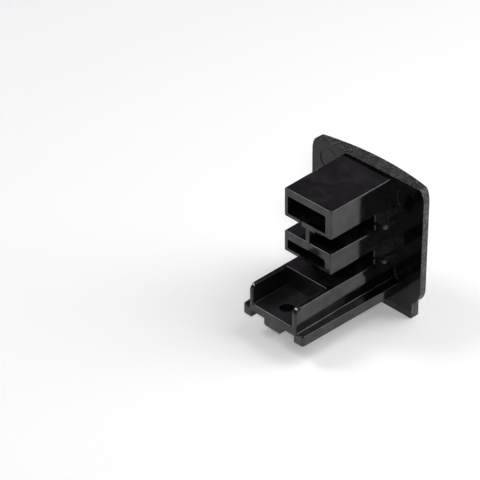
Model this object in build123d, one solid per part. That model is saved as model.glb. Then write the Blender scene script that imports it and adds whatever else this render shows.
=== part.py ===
"""Profile end cap: one moulding that closes the cut end of an extruded lighting track.

A bowed cover plate seats on the end of the profile. Behind it an insert slides into the profile:
an upper and a lower square tube joined by a web, and under them a tray with a screw hole.

Frame: x across the width, y into the profile, z up. The origin is the centre of the seat,
which is the flat back of the cover plate.
"""
import os
from math import atan2, degrees

from build123d import *

near = 0.001  # two places closer than this count as the same

# Cover plate
plate_width = 36.0
plate_height = 32.9
plate_edge = 2.1          # thickness at the left and right edges
plate_bulge = 2.25        # how far the middle of the outer face stands proud of its edges
plate_corner_across = 1.7  # upper corners: elliptical, less across than down
plate_corner_down = 3.6
plate_low_radius = 5.5    # rounded step from the plate's sides down to the tab
plate_face_round = 0.25   # edge of the outer face
plate_seat_round = 0.08   # edge of the flat back
tab_width = 31.0
tab_height = 4.4

# Tubes, with their sizes at the open end
top_margin = 0.95         # plate's top edge to the upper tube
tube_width = 15.2
tube_length = 20.0
tube_draft = 0.7          # degrees by which the sides and the top lean out towards the plate
upper_tube_height = 7.8
lower_tube_height = 5.7
slot_height = 4.1         # free height under each tube, which clears a conductor carrier
near_wall = 1.1           # side wall at +x
far_wall = 1.9            # side wall at -x
upper_roof = 1.95
upper_floor = 1.0
lower_roof = 2.2
lower_floor = 0.95
bore_round = 0.6          # round of each bore at its upper corner over the thick wall
bore_corner = 0.2         # round of its other corners
tube_round = 0.4          # long outer edges
mouth_round = 0.25        # outer edges of the open end
web_thickness = 1.15
pad_width = 4.8           # thicker strip under the middle of each tube
pad_depth = 0.4
pad_setback = 0.7         # the lower tube's strip stops this short of the open end
slit_width = 0.4          # relief slit beside the upper tube's strip
slit_depth = 0.8

# Tray, with its width at the free end
tray_width = 15.4
tray_length = 31.6
tray_draft = 0.2
tray_depth = 5.4
tray_near_wall = 1.1
tray_far_wall = 1.5
tray_floor = 2.05
tray_wall_nose = 1.9      # round of the walls' free upper corners
tray_wall_round = 0.35
tray_foot_round = 0.3     # hollow where the walls meet the floor
block_length = 20.2       # solid part of the tray behind the plate
block_round = 0.15
screw_diameter = 3.4
screw_from_end = 4.8      # distance of the screw hole from the tray's free end
screw_rim = 0.15

# Rails along the tray's foot
rail_span = 19.95         # over both rails at their free end
rail_flare = 0.9          # how far each rail's side moves out on its way to the plate
rail_height = 2.9
rail_rise = 0.85          # rail's outer top edge above the underside of the tray's floor
rail_slope = 0.14         # fall of the rail's top towards the tray's wall
rail_nose = 0.8           # round of the rails' free corners seen from above
rail_round = 0.3
rail_foot_round = 0.3     # hollow where a rail's top meets the tray's side
rail_inset = 0.6          # how far each rail reaches in under the tray's wall
keel_width = 5.5
keel_rise = 0.1           # keel's underside above the rails' underside
keel_round = 0.5

# Solid end of each slot, with a thin locating wing to both sides
stop_width = 15.3
stop_length = 5.15
stop_bite = 0.6           # how far it reaches into the walls above and below the slot
stop_round = 0.3
wing_span = 21.8
wing_thickness = 1.15
wing_drop = 0.25          # wing's middle below the middle of the slot
wing_corner = 1.0
wing_round = 0.4

# Round marks of the ejector pins on the back of the plate
mark_radius = 2.87
mark_spread = 24.9        # between the left and the right row
mark_lip = 0.2
mark_lip_height = 0.08
mark_sink = 0.08
mark_drops = (4.45, 15.75, 25.7)  # below the plate's top edge

# Heights, worked out from the plate's centre
plate_top = plate_height / 2
plate_bottom = -plate_height / 2
tab_bottom = plate_bottom - tab_height
upper_top = plate_top - top_margin
upper_bottom = upper_top - upper_tube_height
lower_top = upper_bottom - slot_height
lower_bottom = lower_top - lower_tube_height
tray_top = lower_bottom - slot_height
floor_top = tray_top - tray_depth
floor_bottom = floor_top - tray_floor
rail_top = floor_bottom + rail_rise
rail_bottom = rail_top - rail_height


def bar(x, y, z):
    """Box between two x, two y and two z values."""
    box = Box(x[1] - x[0], y[1] - y[0], z[1] - z[0], align=(Align.MIN, Align.MIN, Align.MIN))
    return Pos(x[0], y[0], z[0]) * box


def across(y):
    """Upright plane across the insert at this y."""
    return Plane((0, y, 0), x_dir=(1, 0, 0), z_dir=(0, 1, 0))


def at_y(edges, y):
    """Edges whose middle lies at this y."""
    return edges.filter_by(lambda edge: abs(edge.center().Y - y) < near)


def plate_outline():
    """Front view of the plate: round upper corners, stepped lower corners and the narrower tab."""
    side = plate_width / 2
    tab_side = tab_width / 2
    step = plate_low_radius
    inset = side - tab_side
    drop = (step**2 - (step - inset) ** 2) ** 0.5
    step_top = plate_bottom + drop
    wide, tall = plate_corner_across, plate_corner_down
    corner = side - wide
    corner_foot = plate_top - tall
    with BuildSketch(Plane.XZ) as outline:
        with BuildLine():
            Line((-corner, plate_top), (corner, plate_top))
            EllipticalCenterArc((corner, corner_foot), wide, tall, start_angle=0, arc_size=90)
            right_side = Line((side, corner_foot), (side, step_top))
            right_step = RadiusArc(right_side @ 1, (tab_side, plate_bottom), step)
            right_tab = Line(right_step @ 1, (tab_side, tab_bottom))
            foot = Line(right_tab @ 1, (-tab_side, tab_bottom))
            left_tab = Line(foot @ 1, (-tab_side, plate_bottom))
            left_step = RadiusArc(left_tab @ 1, (-side, step_top), step)
            Line(left_step @ 1, (-side, corner_foot))
            EllipticalCenterArc((-corner, corner_foot), wide, tall, start_angle=90, arc_size=90)
        make_face()
    return outline.sketch


def cover_plate():
    """Plate with a flat back and an outer face bowed about an upright axis."""
    side = plate_width / 2
    thick = plate_edge + plate_bulge
    body = extrude(plate_outline(), amount=thick)
    with BuildSketch(Plane.XY.offset(tab_bottom)) as section:
        with BuildLine():
            Polyline((-side, -plate_edge), (-side, 0), (side, 0), (side, -plate_edge))
            ThreePointArc((side, -plate_edge), (0, -thick), (-side, -plate_edge))
        make_face()
    body = body & extrude(section.sketch, amount=tab_height + plate_height)
    front = body.faces().filter_by(GeomType.CYLINDER).sort_by(Axis.Y)[0].edges()
    body = fillet(front, plate_face_round)
    return fillet(at_y(body.edges(), 0), plate_seat_round)


def tube(top, height, roof, floor, leaning):
    """Square tube, open at its free end and closed by the plate. So many of its faces lean out."""
    half = tube_width / 2
    bottom = top - height
    body = bar((-half, half), (0, tube_length), (bottom, top))
    sides = body.faces().filter_by(Axis.X) + body.faces().sort_by(Axis.Z)[-1:]
    body = draft(sides[:leaning], across(tube_length), tube_draft)
    body = fillet(at_y(body.edges(), tube_length / 2), tube_round)
    body = fillet(at_y(body.edges(), tube_length), mouth_round)
    bore = bar((far_wall - half, half - near_wall), (0, tube_length), (bottom + floor, top - roof))
    corners = bore.edges().filter_by(Axis.Y)
    thick_side_top = corners.filter_by(lambda edge: edge.center().X < 0).sort_by(Axis.Z)[-1]
    others = corners.filter_by(lambda edge: (edge.center() - thick_side_top.center()).length > near)
    bore = fillet(others, bore_corner)
    corners = bore.edges().filter_by(Axis.Y)
    thick_side_top = corners.sort_by(lambda edge: edge.center().X - edge.center().Z)[0]
    return body - fillet(thick_side_top, bore_round)


def pad(bottom, floor, length):
    """Thicker strip under a tube's floor."""
    half = pad_width / 2
    body = bar((-half, half), (0, length), (bottom - pad_depth, bottom + floor / 2))
    lower = body.edges().filter_by(Axis.Y).sort_by(Axis.Z)[0:2]
    return fillet(lower, pad_depth / 2)


def tubes():
    """Upper and lower tube with the upright web between them."""
    half = web_thickness / 2
    upper = tube(upper_top, upper_tube_height, upper_roof, upper_floor, 3)
    upper = upper + pad(upper_bottom, upper_floor, tube_length)
    slit = bar((pad_width / 2 - slit_width, pad_width / 2), (tube_length - slit_depth, tube_length),
               (upper_bottom - upper_floor, upper_bottom + upper_floor))
    lower = tube(lower_top, lower_tube_height, lower_roof, lower_floor, 2)
    lower = lower + pad(lower_bottom, lower_floor, tube_length - pad_setback)
    web = bar((-half, half), (0, tube_length), (lower_top - lower_roof / 2, upper_bottom + upper_floor / 2))
    return upper - slit + lower + web


def stop(ledge):
    """Solid end of the slot above this ledge, from which a wing reaches out past both sides."""
    half = stop_width / 2
    body = bar((-half, half), (0, stop_length), (ledge - stop_bite, ledge + slot_height + stop_bite))
    free = body.edges().filter_by(Axis.Z).filter_by(lambda edge: edge.center().Y > 0)
    body = fillet(free, stop_round)
    reach = wing_span / 2
    middle = ledge + slot_height / 2 - wing_drop
    half = wing_thickness / 2
    wing = bar((-reach, reach), (0, stop_length), (middle - half, middle + half))
    free = wing.edges().filter_by(Axis.Z).filter_by(lambda edge: edge.center().Y > 0)
    wing = fillet(free, wing_corner)
    rims = wing.faces().sort_by(Axis.Z)[-1].edges() + wing.faces().sort_by(Axis.Z)[0].edges()
    return body + fillet(rims.filter_by(lambda edge: edge.center().Y > near), wing_round)


def rail():
    """Rail along the +x side of the tray's foot, with a top that falls towards the tray."""
    inner = tray_width / 2 - rail_inset
    free = rail_span / 2
    body = bar((inner, free), (0, tray_length), (rail_bottom, rail_top))
    outer = body.faces().sort_by(Axis.X)[-1]
    body = draft(outer, across(tray_length), degrees(atan2(rail_flare, tray_length)))
    along = Vector(rail_flare, -tray_length, 0)
    fall = Vector(-1, 0, -rail_slope)
    top = Plane((free, tray_length, rail_top), x_dir=along, z_dir=fall.cross(along))
    body = split(body, bisect_by=top, keep=Keep.BOTTOM)
    free_corner = at_y(body.edges(), tray_length).sort_by(Axis.X)[-1]
    body = fillet(free_corner, rail_nose)
    level = body.faces().sort_by(Axis.Z)
    rims = level[0].edges() + level[-1].edges().filter_by(lambda edge: edge.center().X > tray_width / 2)
    return fillet(rims.filter_by(lambda edge: edge.center().Y > near), rail_round)


def trough(body):
    """Tray's body with its open part cut out, and the rims of its two walls rounded up to their noses."""
    half = tray_width / 2
    space = bar((tray_far_wall - half, half - tray_near_wall), (block_length, tray_length),
                (floor_top, tray_top + tray_depth))
    feet = space.faces().sort_by(Axis.Z)[0].edges().filter_by(Axis.Y)
    body = body - fillet(feet, tray_foot_round)
    sides = body.faces().sort_by(Axis.X)
    rims = sides[0].edges() + sides[-1].edges() + body.faces().filter_by(Axis.X).edges()
    rims = rims.filter_by(lambda edge: edge.center().Z > floor_top + tray_foot_round + near)
    rims = rims.filter_by(lambda edge: edge.center().Y > near and abs(edge.center().Y - block_length) > near)
    mouth = at_y(body.edges(), tray_length)
    mouth = mouth.filter_by(lambda edge: -near < edge.center().Z - floor_top < tray_foot_round)
    body = fillet(rims + mouth, tray_wall_round)
    step = at_y(body.edges(), block_length).sort_by(Axis.Z)[-1]
    return fillet(step, block_round)


def at_rail_foot(edge):
    """True for an edge along which a rail's top meets the tray's side."""
    middle = edge.center()
    beside = abs(abs(middle.X) - tray_width / 2) < rail_foot_round
    return beside and floor_bottom < middle.Z < rail_top and edge.length > block_length


def tray():
    """Trough with a solid inner end, side rails and a keel, and a screw hole through floor and keel."""
    half = tray_width / 2
    body = bar((-half, half), (0, tray_length), (floor_bottom, tray_top))
    body = draft(body.faces().filter_by(Axis.X), across(tray_length), tray_draft)
    nose = at_y(body.edges(), tray_length).sort_by(Axis.Z)[-1]
    body = trough(fillet(nose, tray_wall_nose))
    side_rail = rail()
    keel = bar((-keel_width / 2, keel_width / 2), (0, tray_length),
               (rail_bottom + keel_rise, floor_bottom + tray_floor / 2))
    keel = fillet(keel.edges().filter_by(Axis.Y).sort_by(Axis.Z)[0:2], keel_round)
    body = body + side_rail + mirror(side_rail, Plane.YZ)
    body = fillet(body.edges().filter_by(at_rail_foot), rail_foot_round) + keel
    screw_place = tray_length - screw_from_end
    screw = screw_diameter / 2
    bottom = (Align.CENTER, Align.CENTER, Align.MIN)
    hole = Pos(0, screw_place, rail_bottom) * Cylinder(screw, floor_top - rail_bottom, align=bottom)
    rim = Cone(screw, screw + screw_rim, screw_rim, align=bottom)
    rim = Pos(0, screw_place, floor_top - screw_rim) * rim
    return body - hole - rim


def pin_mark(x, z):
    """Lip of one ejector-pin mark."""
    outer = Circle(mark_radius + mark_lip / 2)
    ring = outer - Circle(mark_radius - mark_lip / 2)
    return Pos(x, 0, z) * (Plane.XZ * extrude(ring, amount=-mark_lip_height))


def pin_sink(x, z):
    """Shallow sunk disc inside the lip."""
    disc = Circle(mark_radius - mark_lip / 2)
    return Pos(x, 0, z) * (Plane.XZ * extrude(disc, amount=mark_sink))


def end_cap():
    """The whole moulding as one solid."""
    body = cover_plate() + tubes() + tray() + stop(lower_top) + stop(tray_top)
    places = [(side * mark_spread / 2, plate_top - drop) for side in (-1, 1) for drop in mark_drops]
    for x, z in places:
        body = body - pin_sink(x, z) + pin_mark(x, z)
    return body


os.makedirs("parts", exist_ok=True)
cap = end_cap()
cap.label = "end_cap"
export_step(cap, "parts/end_cap.step")
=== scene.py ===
"""Profile end cap moulded in black ABS, on a plain white floor in soft studio light.

Everything is in metres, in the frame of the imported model: x across the width, y into the profile, z up,
with the origin at the centre of the cover plate's flat back.
"""
import math

import bmesh
import bpy
from bpy.props import FloatProperty, FloatVectorProperty, PointerProperty
from mathutils import Matrix, Vector


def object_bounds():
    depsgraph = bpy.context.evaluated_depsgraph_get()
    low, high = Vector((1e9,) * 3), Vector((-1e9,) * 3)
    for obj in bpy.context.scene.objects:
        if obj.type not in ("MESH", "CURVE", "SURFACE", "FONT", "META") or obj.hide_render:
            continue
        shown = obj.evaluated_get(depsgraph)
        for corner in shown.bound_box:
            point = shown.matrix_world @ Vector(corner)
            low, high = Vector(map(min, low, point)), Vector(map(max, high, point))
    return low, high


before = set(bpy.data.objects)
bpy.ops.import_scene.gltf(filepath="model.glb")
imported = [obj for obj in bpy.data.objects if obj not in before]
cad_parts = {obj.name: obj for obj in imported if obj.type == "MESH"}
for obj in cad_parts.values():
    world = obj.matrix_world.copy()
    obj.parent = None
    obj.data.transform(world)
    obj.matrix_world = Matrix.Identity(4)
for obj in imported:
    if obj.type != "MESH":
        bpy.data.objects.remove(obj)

bl_info = {
    "name": "Profile end cap",
    "version": (1, 0, 0),
    "blender": (4, 5, 0),
    "location": "3D View > Sidebar > End cap",
    "description": "Finishes the moulded end cap of a lighting profile and sets it in soft studio light",
    "category": "Object",
}

MM = 0.001
CAP = "end_cap"
CAD_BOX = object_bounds()
LAMPS = ("key", "back", "front", "glint")
LAMP_VALUES = ("azimuth", "height", "distance", "size", "brightness")

# Low and high x, y and z of the open tray, of a layer that holds the plate's flat back, and of the screw hole
TRAY_SPACE = ((-6.3 * MM, 6.7 * MM), (20.1 * MM, 31.4 * MM), (-11.8 * MM, -6.4 * MM))
SEAT_SPACE = ((-19 * MM, 19 * MM), (-0.5 * MM, 0.5 * MM), (-19 * MM, 19 * MM))
HOLE_SPACE = ((-1.8 * MM, 1.8 * MM), (25.0 * MM, 28.6 * MM), (-15.55 * MM, -11.65 * MM))

# Where the outer face, the plate without its back, and all that lies in front of the seat begin and are
# whole: the first two by how far the surface looks along y, the last by its place along y
FACE_TURN = (-0.72, -0.93)
PLATE_TURN = (0.95, 0.6)
FRONT_PLACE = (0.0, -0.03 * MM)
FACING = 0.7  # a surface faces an axis if more than this share of its direction lies along it

# Each RANGE holds the values of a pattern between which the finish changes from its first to its last state
CLOUD_RANGE = (0.35, 0.7)
CLOUD_GLOSS = (0.8, 1.9)   # times the insert's roughness
SHINE_RANGE = (0.35, 0.65)
SHINE_SWING = (0.78, 1.2)  # times the insert's shine
THIN_RANGE = (0.45, 0.65)
SMUDGE_SHARE = 0.6         # dust in a smudge, where the tray's floor has 1 as painted light
GLINT_GRAIN_RANGE = (0.72, 0.9)   # 28 grains in a hundred get a painted glint, and 10 of them wholly

ABS_IOR = 1.52
PAINT_IOR = 1.3
PAINT_ROUGHNESS = 0.9
WHITE = (1, 1, 1, 1)
SENSOR_WIDTH = 36    # millimetres
CLOSEST_SEEN = 0.01  # metres before the camera
SAME_PLACE = 1e-6    # points closer than this are one


def linear(code):
    """Linear RGB of an sRGB hex colour such as #1a1a1b."""
    shares = [int(code[i:i + 2], 16) / 255 for i in (1, 3, 5)]
    return [s / 12.92 if s <= 0.04045 else ((s + 0.055) / 1.055) ** 2.4 for s in shares]


def add(tree, kind, inputs=None, **settings):
    """Add a node. Each input is a plain value, or the output of another node that feeds it."""
    node = tree.nodes.new(kind)
    for name, value in settings.items():
        setattr(node, name, value)
    for name, value in (inputs or {}).items():
        if isinstance(value, bpy.types.NodeSocket):
            tree.links.new(value, node.inputs[name])
        else:
            node.inputs[name].default_value = value
    return node


def within(tree, place, space):
    """1 inside a block of space, and 0 outside it, from a separated position."""
    inside = 1.0
    for axis, (low, high) in zip("XYZ", space):
        middle = (low + high) / 2
        between = add(tree, "ShaderNodeMath", {0: place.outputs[axis], 1: middle, 2: high - middle},
                      operation="COMPARE")
        inside = add(tree, "ShaderNodeMath", {0: between.outputs[0], 1: inside}, operation="MULTIPLY")
        inside = inside.outputs[0]
    return inside


class MouldFinish(bpy.types.PropertyGroup):
    """Colours and surface of the plastic, as the mould and a little dust left it, with painted glints on the
    rim's grains and painted light on the tray's floor.
    """

    pigment: FloatVectorProperty(
        name="Pigment", description="Colour of the black plastic itself, under its gloss",
        subtype="COLOR", size=3, min=0, max=1, default=linear("#050506"))
    pigment_pale: FloatVectorProperty(
        name="Pale pigment", description="Colour where the pigment flowed out a little thinner",
        subtype="COLOR", size=3, min=0, max=1, default=linear("#0d0c0f"))
    # Painted glints: the rim's pale grains stand in for the light that the grain's tilted facets catch
    pigment_painted_glint: FloatVectorProperty(
        name="Rubbed pigment", description="Colour of the rim's grains where handling rubbed them pale",
        subtype="COLOR", size=3, min=0, max=1, default=linear("#5e5e5c"))
    # Painted light on the tray's floor, which this paler colour lifts out of its shade; on the tops it is
    # dust in smudges
    pigment_painted_light_and_dust: FloatVectorProperty(
        name="Dusty pigment",
        description="Colour of the tray's floor, and of smudges on the tops, under faint dust",
        subtype="COLOR", size=3, min=0, max=1, default=linear("#1f1e20"))
    insert_roughness: FloatProperty(
        name="Insert roughness", description="Gloss of the polished insert, lower is glossier",
        subtype="FACTOR", min=0, max=1, default=0.09)
    tray_roughness: FloatProperty(
        name="Tray roughness", description="Gloss of the tray's inside, which a milled core formed",
        subtype="FACTOR", min=0, max=1, default=0.27)
    hole_roughness: FloatProperty(
        name="Hole roughness", description="Gloss of the screw hole, which a plain core pin formed",
        subtype="FACTOR", min=0, max=1, default=0.6)
    face_roughness: FloatProperty(
        name="Face roughness", description="Gloss of the blasted outer face",
        subtype="FACTOR", min=0, max=1, default=0.42)
    rim_roughness: FloatProperty(
        name="Rim roughness", description="Gloss of the spark-eroded rim",
        subtype="FACTOR", min=0, max=1, default=0.46)
    shine: FloatProperty(
        name="Shine", description="Strength of the insert's mirror image, where 0.5 is the plain plastic's",
        subtype="FACTOR", min=0, max=1, default=0.5)
    seat_shine: FloatProperty(
        name="Seat shine", description="Strength of the mirror image in the plate's less polished back",
        subtype="FACTOR", min=0, max=1, default=0.3)
    hole_shine: FloatProperty(
        name="Hole shine", description="Strength of the mirror image in the dull screw hole",
        subtype="FACTOR", min=0, max=1, default=0.08)
    ripple_length: FloatProperty(
        name="Ripple length", description="Spacing of the shallow ripple that hand polishing left",
        unit="LENGTH", default=2.2 * MM)
    ripple_depth: FloatProperty(
        name="Ripple depth", description="Height of that ripple",
        unit="LENGTH", precision=6, default=0.003 * MM)
    cloud_size: FloatProperty(
        name="Cloud size", description="Spacing of the insert's cloudy patches of more and less gloss",
        unit="LENGTH", precision=5, default=3.0 * MM)
    flow_size: FloatProperty(
        name="Flow size", description="Spacing of the thinner streaks of pigment",
        unit="LENGTH", precision=5, default=5.0 * MM)
    flow_bend: FloatProperty(
        name="Flow bend", description="How far those streaks bend",
        min=0, default=0.8)
    mill_length: FloatProperty(
        name="Mill marks", description="Spacing of the marks in the tray's inside",
        unit="LENGTH", precision=5, default=0.9 * MM)
    mill_depth: FloatProperty(
        name="Mill depth", description="Depth of those marks",
        unit="LENGTH", precision=6, default=0.03 * MM)
    blast_size: FloatProperty(
        name="Blasted grain", description="Grain of the outer face",
        unit="LENGTH", precision=5, default=0.22 * MM)
    blast_depth: FloatProperty(
        name="Blasted depth", description="Depth of the outer face's grain",
        unit="LENGTH", precision=6, default=0.01 * MM)
    spark_size: FloatProperty(
        name="Spark grain", description="Grain of the rim",
        unit="LENGTH", precision=5, default=0.3 * MM)
    spark_depth: FloatProperty(
        name="Spark depth", description="Depth of the rim's grain",
        unit="LENGTH", precision=6, default=0.07 * MM)


class StudioSet(bpy.types.PropertyGroup):
    """Sizes, colours and light of the round white set."""

    board: FloatVectorProperty(
        name="Board", description="Colour of the floor and its curved wall",
        subtype="COLOR", size=3, min=0, max=1, default=linear("#f3f4f2"))
    radius: FloatProperty(
        name="Radius", description="Radius of the round floor",
        unit="LENGTH", min=0.5, default=1.6)
    cove: FloatProperty(
        name="Cove", description="Radius of the curve between the floor and its wall",
        unit="LENGTH", min=0.05, default=0.3)
    wall: FloatProperty(
        name="Wall", description="Height of the wall round the floor",
        unit="LENGTH", min=0.1, default=0.5)
    board_glow: FloatProperty(
        name="Board glow", description="How far the board is lifted towards white where seen or mirrored",
        subtype="FACTOR", min=0, max=1, default=0.17)
    room_colour: FloatVectorProperty(
        name="Room colour", description="Faint tint of the room's light",
        subtype="COLOR", size=3, min=0, max=1, default=linear("#fae9ff"))
    room: FloatProperty(
        name="Room", description="Brightness of the dim room above the wall",
        subtype="FACTOR", min=0, max=1, default=0.18)
    key_azimuth: FloatProperty(
        name="Key direction",
        description="Direction of the high lamp behind the plate, about the upright axis from +x",
        subtype="ANGLE", unit="ROTATION", default=math.radians(-133))
    key_height: FloatProperty(
        name="Key height", description="Angle of that lamp above the floor, seen from the cap",
        subtype="ANGLE", unit="ROTATION", default=math.radians(67))
    key_distance: FloatProperty(
        name="Key distance", description="From the cap to that lamp",
        unit="LENGTH", min=0.2, default=0.33)
    key_size: FloatProperty(
        name="Key size", description="Side of that lamp's square front",
        unit="LENGTH", min=0.02, default=0.165)
    key_brightness: FloatProperty(
        name="Key brightness",
        description="Brightness of that lamp's front, where a lit white sheet has 1",
        min=0, default=4.1)
    back_azimuth: FloatProperty(
        name="Back direction",
        description="Direction of the low lamp behind the plate, about the upright axis from +x",
        subtype="ANGLE", unit="ROTATION", default=math.radians(-131))
    back_height: FloatProperty(
        name="Back height", description="Angle of that lamp above the floor, seen from the cap",
        subtype="ANGLE", unit="ROTATION", default=math.radians(29))
    back_distance: FloatProperty(
        name="Back distance", description="From the cap to that lamp",
        unit="LENGTH", min=0.2, default=0.6)
    back_size: FloatProperty(
        name="Back size", description="Side of that lamp's square front",
        unit="LENGTH", min=0.02, default=0.45)
    back_brightness: FloatProperty(
        name="Back brightness",
        description="Brightness of that lamp's front, where a lit white sheet has 1",
        min=0, default=2.6)
    front_azimuth: FloatProperty(
        name="Front direction",
        description="Direction of the lamp before the free end, about the upright axis from +x",
        subtype="ANGLE", unit="ROTATION", default=math.radians(30))
    front_height: FloatProperty(
        name="Front height", description="Angle of that lamp above the floor, seen from the cap",
        subtype="ANGLE", unit="ROTATION", default=math.radians(48))
    front_distance: FloatProperty(
        name="Front distance", description="From the cap to that lamp",
        unit="LENGTH", min=0.2, default=0.9)
    front_size: FloatProperty(
        name="Front size", description="Side of that lamp's square front",
        unit="LENGTH", min=0.02, default=0.28)
    front_brightness: FloatProperty(
        name="Front brightness",
        description="Brightness of that lamp's front, where a lit white sheet has 1",
        min=0, default=10.0)
    glint_azimuth: FloatProperty(
        name="Glint direction",
        description="Direction of the small lamp above the camera, about the upright axis from +x",
        subtype="ANGLE", unit="ROTATION", default=math.radians(134.5))
    glint_height: FloatProperty(
        name="Glint height", description="Angle of that lamp above the floor, seen from the cap",
        subtype="ANGLE", unit="ROTATION", default=math.radians(36))
    glint_distance: FloatProperty(
        name="Glint distance", description="From the cap to that lamp",
        unit="LENGTH", min=0.2, default=0.9)
    glint_size: FloatProperty(
        name="Glint size", description="Side of that lamp's square front",
        unit="LENGTH", min=0.02, default=0.085)
    glint_brightness: FloatProperty(
        name="Glint brightness",
        description="Brightness of that lamp's front, where a lit white sheet has 1",
        min=0, default=90.0)


class ProductView(bpy.types.PropertyGroup):
    """Where the camera stands. The cap's far end points at it, a little to the left."""

    azimuth: FloatProperty(
        name="Azimuth",
        description="Direction of the camera about the upright axis, where 0 looks along +y",
        subtype="ANGLE", unit="ROTATION", default=math.radians(226.275))
    elevation: FloatProperty(
        name="Elevation", description="Height of the camera above the horizon",
        subtype="ANGLE", unit="ROTATION", default=math.radians(34.267))
    roll: FloatProperty(
        name="Roll", description="Turn of the camera about its line of sight",
        subtype="ANGLE", unit="ROTATION", default=math.radians(-0.798))
    distance: FloatProperty(
        name="Distance", description="From the camera to the point that it looks at",
        unit="LENGTH", min=0.05, default=516.2 * MM)
    aim_right: FloatProperty(
        name="Aim right",
        description="The point looked at, to the right of the cap's origin in the picture",
        unit="LENGTH", default=-30.18 * MM)
    aim_up: FloatProperty(
        name="Aim up", description="The point looked at, above the cap's origin in the picture",
        unit="LENGTH", default=-4.0 * MM)
    lens: FloatProperty(
        name="Focal length", description="Focal length on a 36 mm sensor, in millimetres",
        unit="CAMERA", min=10, default=161.53)


def black_abs(finish):
    """ABS with carbon black, injection moulded: deep black, and as glossy as the steel it was moulded on.

    Polished steel made the insert, which mirrors its surroundings with a faint ripple and cloudy patches.
    Its plate side was polished less, so the plate's back mirrors less. A milled core made the tray's inside,
    which only glows, and a plain pin the screw hole, which stays dark. Blasted steel made the outer face,
    Spark-eroded steel made the rim, whose coarse grains are painted pale one by one as glints. The tray's
    floor is painted paler, as light in its shade.
    """
    material = bpy.data.materials.new("black_abs_injection_moulded")
    material.use_nodes = True
    tree = material.node_tree
    shader = tree.nodes["Principled BSDF"]
    coordinates = add(tree, "ShaderNodeTexCoord")
    position = coordinates.outputs["Object"]
    place = add(tree, "ShaderNodeSeparateXYZ", {0: position})
    facing = add(tree, "ShaderNodeSeparateXYZ", {0: coordinates.outputs["Normal"]})

    # The outer face looks along -y, and the rim lies in front of the seat without doing so
    face = add(tree, "ShaderNodeMapRange",
               {"Value": facing.outputs["Y"], "From Min": FACE_TURN[0], "From Max": FACE_TURN[1]},
               interpolation_type="SMOOTHSTEP").outputs["Result"]
    front = add(tree, "ShaderNodeMapRange",
                {"Value": place.outputs["Y"], "From Min": FRONT_PLACE[0], "From Max": FRONT_PLACE[1]})
    plate = add(tree, "ShaderNodeMapRange",
                {"Value": facing.outputs["Y"], "From Min": PLATE_TURN[0], "From Max": PLATE_TURN[1],
                 "To Max": front.outputs["Result"]}).outputs["Result"]
    rim = add(tree, "ShaderNodeMath", {0: plate, 1: face}, operation="SUBTRACT", use_clamp=True)
    rim = rim.outputs[0]

    inside = within(tree, place, TRAY_SPACE)
    hole = within(tree, place, HOLE_SPACE)
    inward = add(tree, "ShaderNodeMath", {0: facing.outputs["Y"], 1: FACING}, operation="GREATER_THAN")
    seat = add(tree, "ShaderNodeMath", {0: inward.outputs[0], 1: within(tree, place, SEAT_SPACE)},
               operation="MULTIPLY").outputs[0]

    # Height of each surface texture in metres, added up where it occurs. The rim's real grain is finer, and
    # is drawn as coarse as it needs to show.
    height = 0.0
    for where, size, depth, detail in ((1.0, finish.ripple_length, finish.ripple_depth, 1.0),
                                       (inside, finish.mill_length, finish.mill_depth, 2.0),
                                       (face, finish.blast_size, finish.blast_depth, 2.0),
                                       (rim, finish.spark_size, finish.spark_depth, 2.0)):
        texture = add(tree, "ShaderNodeTexNoise", {"Vector": position, "Scale": 1 / size, "Detail": detail})
        share = add(tree, "ShaderNodeMath", {0: where, 1: depth}, operation="MULTIPLY")
        height = add(tree, "ShaderNodeMath", {0: texture.outputs["Fac"], 1: share.outputs[0], 2: height},
                     operation="MULTIPLY_ADD").outputs[0]
    relief = add(tree, "ShaderNodeBump", {"Strength": 1.0, "Distance": 1.0, "Height": height})

    # Gloss of each finish, with cloudy patches a few millimetres wide on the polished one
    clouds = add(tree, "ShaderNodeTexNoise",
                 {"Vector": position, "Scale": 1 / finish.cloud_size, "Detail": 4.0})
    gloss = add(tree, "ShaderNodeMapRange",
                {"Value": clouds.outputs["Fac"], "From Min": CLOUD_RANGE[0], "From Max": CLOUD_RANGE[1],
                 "To Min": finish.insert_roughness * CLOUD_GLOSS[0],
                 "To Max": finish.insert_roughness * CLOUD_GLOSS[1]}).outputs["Result"]
    for where, roughness in ((inside, finish.tray_roughness), (hole, finish.hole_roughness),
                             (plate, finish.rim_roughness), (face, finish.face_roughness)):
        gloss = add(tree, "ShaderNodeMix", {"Factor": where, "A": gloss, "B": roughness}).outputs[0]

    # The mirror image is a little stronger and weaker in the insert's patches, plain on the plate's front
    # and rim, weak on the plate's back and faint in the hole
    shine = add(tree, "ShaderNodeMapRange",
                {"Value": clouds.outputs["Fac"], "From Min": SHINE_RANGE[0], "From Max": SHINE_RANGE[1],
                 "To Min": finish.shine * SHINE_SWING[0],
                 "To Max": finish.shine * SHINE_SWING[1]}).outputs["Result"]
    for where, strength in ((plate, finish.shine), (seat, finish.seat_shine), (hole, finish.hole_shine)):
        shine = add(tree, "ShaderNodeMix", {"Factor": where, "A": shine, "B": strength}).outputs[0]

    # Faint change of black where the melt flowed in
    flow = add(tree, "ShaderNodeTexNoise",
               {"Vector": position, "Scale": 1 / finish.flow_size, "Detail": 4.0,
                "Distortion": finish.flow_bend})
    thin = add(tree, "ShaderNodeMapRange",
               {"Value": flow.outputs["Fac"], "From Min": THIN_RANGE[0], "From Max": THIN_RANGE[1]})
    black = add(tree, "ShaderNodeMix",
                {0: thin.outputs["Result"], 6: (*finish.pigment, 1), 7: (*finish.pigment_pale, 1)},
                data_type="RGBA")
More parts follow.
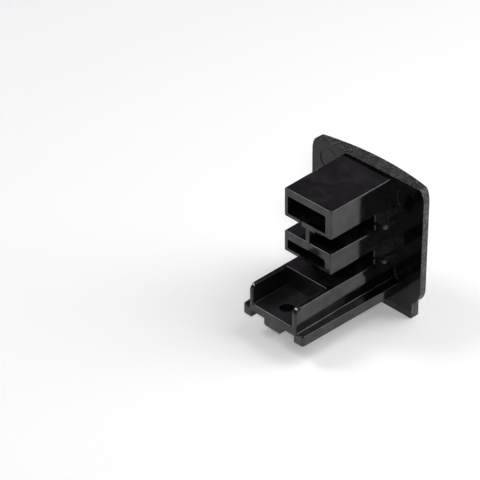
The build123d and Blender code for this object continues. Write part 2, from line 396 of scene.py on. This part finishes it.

    # Painted light on the tray's floor: a paler colour that lifts the shade in the pocket. Faint dust in
    # smudges on the other upward surfaces
    upward = add(tree, "ShaderNodeMath", {0: facing.outputs["Z"], 1: FACING}, operation="GREATER_THAN")
    smudge = add(tree, "ShaderNodeMath", {0: thin.outputs["Result"], 1: SMUDGE_SHARE}, operation="MULTIPLY")
    smudge = add(tree, "ShaderNodeMath", {0: smudge.outputs[0], 1: inside}, operation="MAXIMUM")
    floor_light_and_dust = add(tree, "ShaderNodeMath", {0: upward.outputs[0], 1: smudge.outputs[0]},
                operation="MULTIPLY")
    dust = add(tree, "ShaderNodeMix",
               {0: floor_light_and_dust.outputs[0], 6: black.outputs[2], 7: (*finish.pigment_painted_light_and_dust, 1)},
               data_type="RGBA")

    # Single grains of the rim painted pale: painted glints where the grain's tilted facets would catch light
    grains = add(tree, "ShaderNodeTexVoronoi", {"Vector": position, "Scale": 1 / finish.spark_size})
    shade = add(tree, "ShaderNodeSeparateXYZ", {0: grains.outputs["Color"]})
    pale = add(tree, "ShaderNodeMapRange",
               {"Value": shade.outputs["X"], "From Min": GLINT_GRAIN_RANGE[0], "From Max": GLINT_GRAIN_RANGE[1],
                "To Max": rim}).outputs["Result"]
    colour = add(tree, "ShaderNodeMix", {0: pale, 6: dust.outputs[2], 7: (*finish.pigment_painted_glint, 1)},
                 data_type="RGBA")

    # The plain shine stays on the socket for exports that leave out its pattern
    shader.inputs["IOR"].default_value = ABS_IOR
    shader.inputs["Metallic"].default_value = 0.0
    shader.inputs["Specular IOR Level"].default_value = finish.shine
    tree.links.new(colour.outputs[2], shader.inputs["Base Color"])
    tree.links.new(gloss, shader.inputs["Roughness"])
    tree.links.new(shine, shader.inputs["Specular IOR Level"])
    tree.links.new(relief.outputs["Normal"], shader.inputs["Normal"])
    return material


def white_board(studio):
    """Painted white board: matt, so it only gathers the lamps' light and the cap's soft shadow.

    It is lifted towards white where the camera or a glossy face sees it, which adds no light to the cap.
    """
    material = bpy.data.materials.new("white_board_matt_painted")
    material.use_nodes = True
    tree = material.node_tree
    shader = tree.nodes["Principled BSDF"]
    shader.inputs["Base Color"].default_value = (*studio.board, 1)
    shader.inputs["Roughness"].default_value = PAINT_ROUGHNESS
    shader.inputs["IOR"].default_value = PAINT_IOR
    shader.inputs["Emission Color"].default_value = WHITE
    path = add(tree, "ShaderNodeLightPath").outputs
    seen = add(tree, "ShaderNodeMath", {0: path["Is Camera Ray"], 1: path["Is Glossy Ray"]},
               operation="MAXIMUM")
    seen = add(tree, "ShaderNodeMath", {0: seen.outputs[0], 1: path["Is Transmission Ray"]},
               operation="MAXIMUM")
    strength = add(tree, "ShaderNodeMath", {0: seen.outputs[0], 1: studio.board_glow},
                   operation="MULTIPLY")
    tree.links.new(strength.outputs[0], shader.inputs["Emission Strength"])
    return material


def dim_room(studio):
    """World: the unlit studio above the board's wall."""
    world = bpy.data.worlds.new("dim_room")
    world.use_nodes = True
    background = world.node_tree.nodes["Background"]
    background.inputs["Color"].default_value = (*studio.room_colour, 1)
    background.inputs["Strength"].default_value = studio.room
    return world


def round_set(studio, floor_height):
    """Mesh of a round floor that curves up into a wall on all sides."""
    steps = 96
    cove_steps = 12
    cove_start = studio.radius - studio.cove
    profile = [(0.0, 0.0), (cove_start, 0.0)]
    for i in range(1, cove_steps + 1):
        turn = math.pi / 2 * i / cove_steps
        profile.append((cove_start + studio.cove * math.sin(turn), studio.cove * (1 - math.cos(turn))))
    profile.append((studio.radius, studio.wall))
    mesh = bmesh.new()
    line = [mesh.verts.new((x, 0, z + floor_height)) for x, z in profile]
    edges = [mesh.edges.new(pair) for pair in zip(line, line[1:])]
    bmesh.ops.spin(mesh, geom=line + edges, cent=(0, 0, 0), axis=(0, 0, 1), angle=2 * math.pi,
                   steps=steps, use_merge=True)
    bmesh.ops.remove_doubles(mesh, verts=mesh.verts, dist=SAME_PLACE)
    bmesh.ops.recalc_face_normals(mesh, faces=mesh.faces)
    data = bpy.data.meshes.new("studio_floor")
    mesh.to_mesh(data)
    mesh.free()
    data.shade_smooth()
    floor = bpy.data.objects.new("studio_floor", data)
    bpy.context.scene.collection.objects.link(floor)
    return floor


def camera_axes(view):
    """Direction from the cap to the camera, and the picture's right and up before the roll."""
    a, e = view.azimuth, view.elevation
    back = Vector((math.sin(a) * math.cos(e), -math.cos(a) * math.cos(e), math.sin(e)))
    right = Vector((math.cos(a), math.sin(a), 0))
    return back, right, back.cross(right)


def towards(azimuth, height):
    """Direction at this angle about the upright axis from +x, and this angle above the floor."""
    level = Vector((math.cos(azimuth), math.sin(azimuth), 0)) * math.cos(height)
    return level + Vector((0, 0, math.sin(height)))


def soft_lamp(name, azimuth, height, distance, size, brightness):
    """Square soft box that faces the cap from this direction."""
    direction = towards(azimuth, height)
    data = bpy.data.lights.new(name, "AREA")
    data.shape = "SQUARE"
    data.size = size
    data.energy = brightness * math.pi * size ** 2
    lamp = bpy.data.objects.new(name, data)
    lamp.location = direction * distance
    lamp.rotation_mode = "QUATERNION"
    lamp.rotation_quaternion = direction.to_track_quat("Z", "Y")
    bpy.context.scene.collection.objects.link(lamp)


class ENDCAP_OT_mould(bpy.types.Operator):
    """Give the moulded cap its black plastic, with the finish of each side of the mould."""

    bl_idname = "endcap.mould"
    bl_label = "Mould the cap"

    def execute(self, context):
        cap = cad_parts[CAP]
        material = black_abs(context.scene.endcap_finish)
        cap.data.materials.clear()
        cap.data.materials.append(material)
        return {"FINISHED"}


class ENDCAP_OT_stage(bpy.types.Operator):
    """Set the white floor, the dim room and the four soft lamps."""

    bl_idname = "endcap.stage"
    bl_label = "Set the stage"

    def execute(self, context):
        studio = context.scene.endcap_studio
        floor = round_set(studio, CAD_BOX[0].z)
        floor.data.materials.append(white_board(studio))
        context.scene.world = dim_room(studio)
        for lamp in LAMPS:
            soft_lamp(lamp, *(getattr(studio, f"{lamp}_{value}") for value in LAMP_VALUES))
        context.scene.view_settings.view_transform = "Standard"
        return {"FINISHED"}


class ENDCAP_OT_camera(bpy.types.Operator):
    """Stand the camera where the product is seen from its inner side."""

    bl_idname = "endcap.camera"
    bl_label = "Stand the camera"

    def execute(self, context):
        view = context.scene.endcap_view
        back, right, up = camera_axes(view)
        aim = right * view.aim_right + up * view.aim_up
        rolled_right = right * math.cos(view.roll) + up * math.sin(view.roll)
        rolled_up = up * math.cos(view.roll) - right * math.sin(view.roll)
        data = bpy.data.cameras.new("product_camera")
        data.lens = view.lens
        data.sensor_width = SENSOR_WIDTH
        data.clip_start = CLOSEST_SEEN
        camera = bpy.data.objects.new("product_camera", data)
        turn = Matrix((rolled_right, rolled_up, back)).transposed()
        camera.matrix_world = Matrix.Translation(aim + back * view.distance) @ turn.to_4x4()
        context.scene.collection.objects.link(camera)
        context.scene.camera = camera
        return {"FINISHED"}


class ENDCAP_PT_sidebar(bpy.types.Panel):
    """Sidebar panel with the cap's steps and values."""

    bl_idname = "ENDCAP_PT_sidebar"
    bl_label = "Profile end cap"
    bl_space_type = "VIEW_3D"
    bl_region_type = "UI"
    bl_category = "End cap"

    def draw(self, context):
        for operator, group in STEPS:
            box = self.layout.box()
            box.operator(operator.bl_idname)
            values = getattr(context.scene, group)
            for name in values.bl_rna.properties.keys():
                if name not in ("rna_type", "name"):
                    box.prop(values, name)


STEPS = (
    (ENDCAP_OT_mould, "endcap_finish"),
    (ENDCAP_OT_stage, "endcap_studio"),
    (ENDCAP_OT_camera, "endcap_view"),
)
CLASSES = (MouldFinish, StudioSet, ProductView, ENDCAP_OT_mould, ENDCAP_OT_stage, ENDCAP_OT_camera,
           ENDCAP_PT_sidebar)


def register():
    """Make the classes and their values known to Blender."""
    for cls in CLASSES:
        bpy.utils.register_class(cls)
    bpy.types.Scene.endcap_finish = PointerProperty(type=MouldFinish)
    bpy.types.Scene.endcap_studio = PointerProperty(type=StudioSet)
    bpy.types.Scene.endcap_view = PointerProperty(type=ProductView)


def unregister():
    """Take them out again, in the opposite order."""
    del bpy.types.Scene.endcap_view
    del bpy.types.Scene.endcap_studio
    del bpy.types.Scene.endcap_finish
    for cls in reversed(CLASSES):
        bpy.utils.unregister_class(cls)


def main():
    """Finish the cap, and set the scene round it."""
    register()
    bpy.ops.endcap.mould()
    bpy.ops.endcap.stage()
    bpy.ops.endcap.camera()


if __name__ == "__main__":
    main()
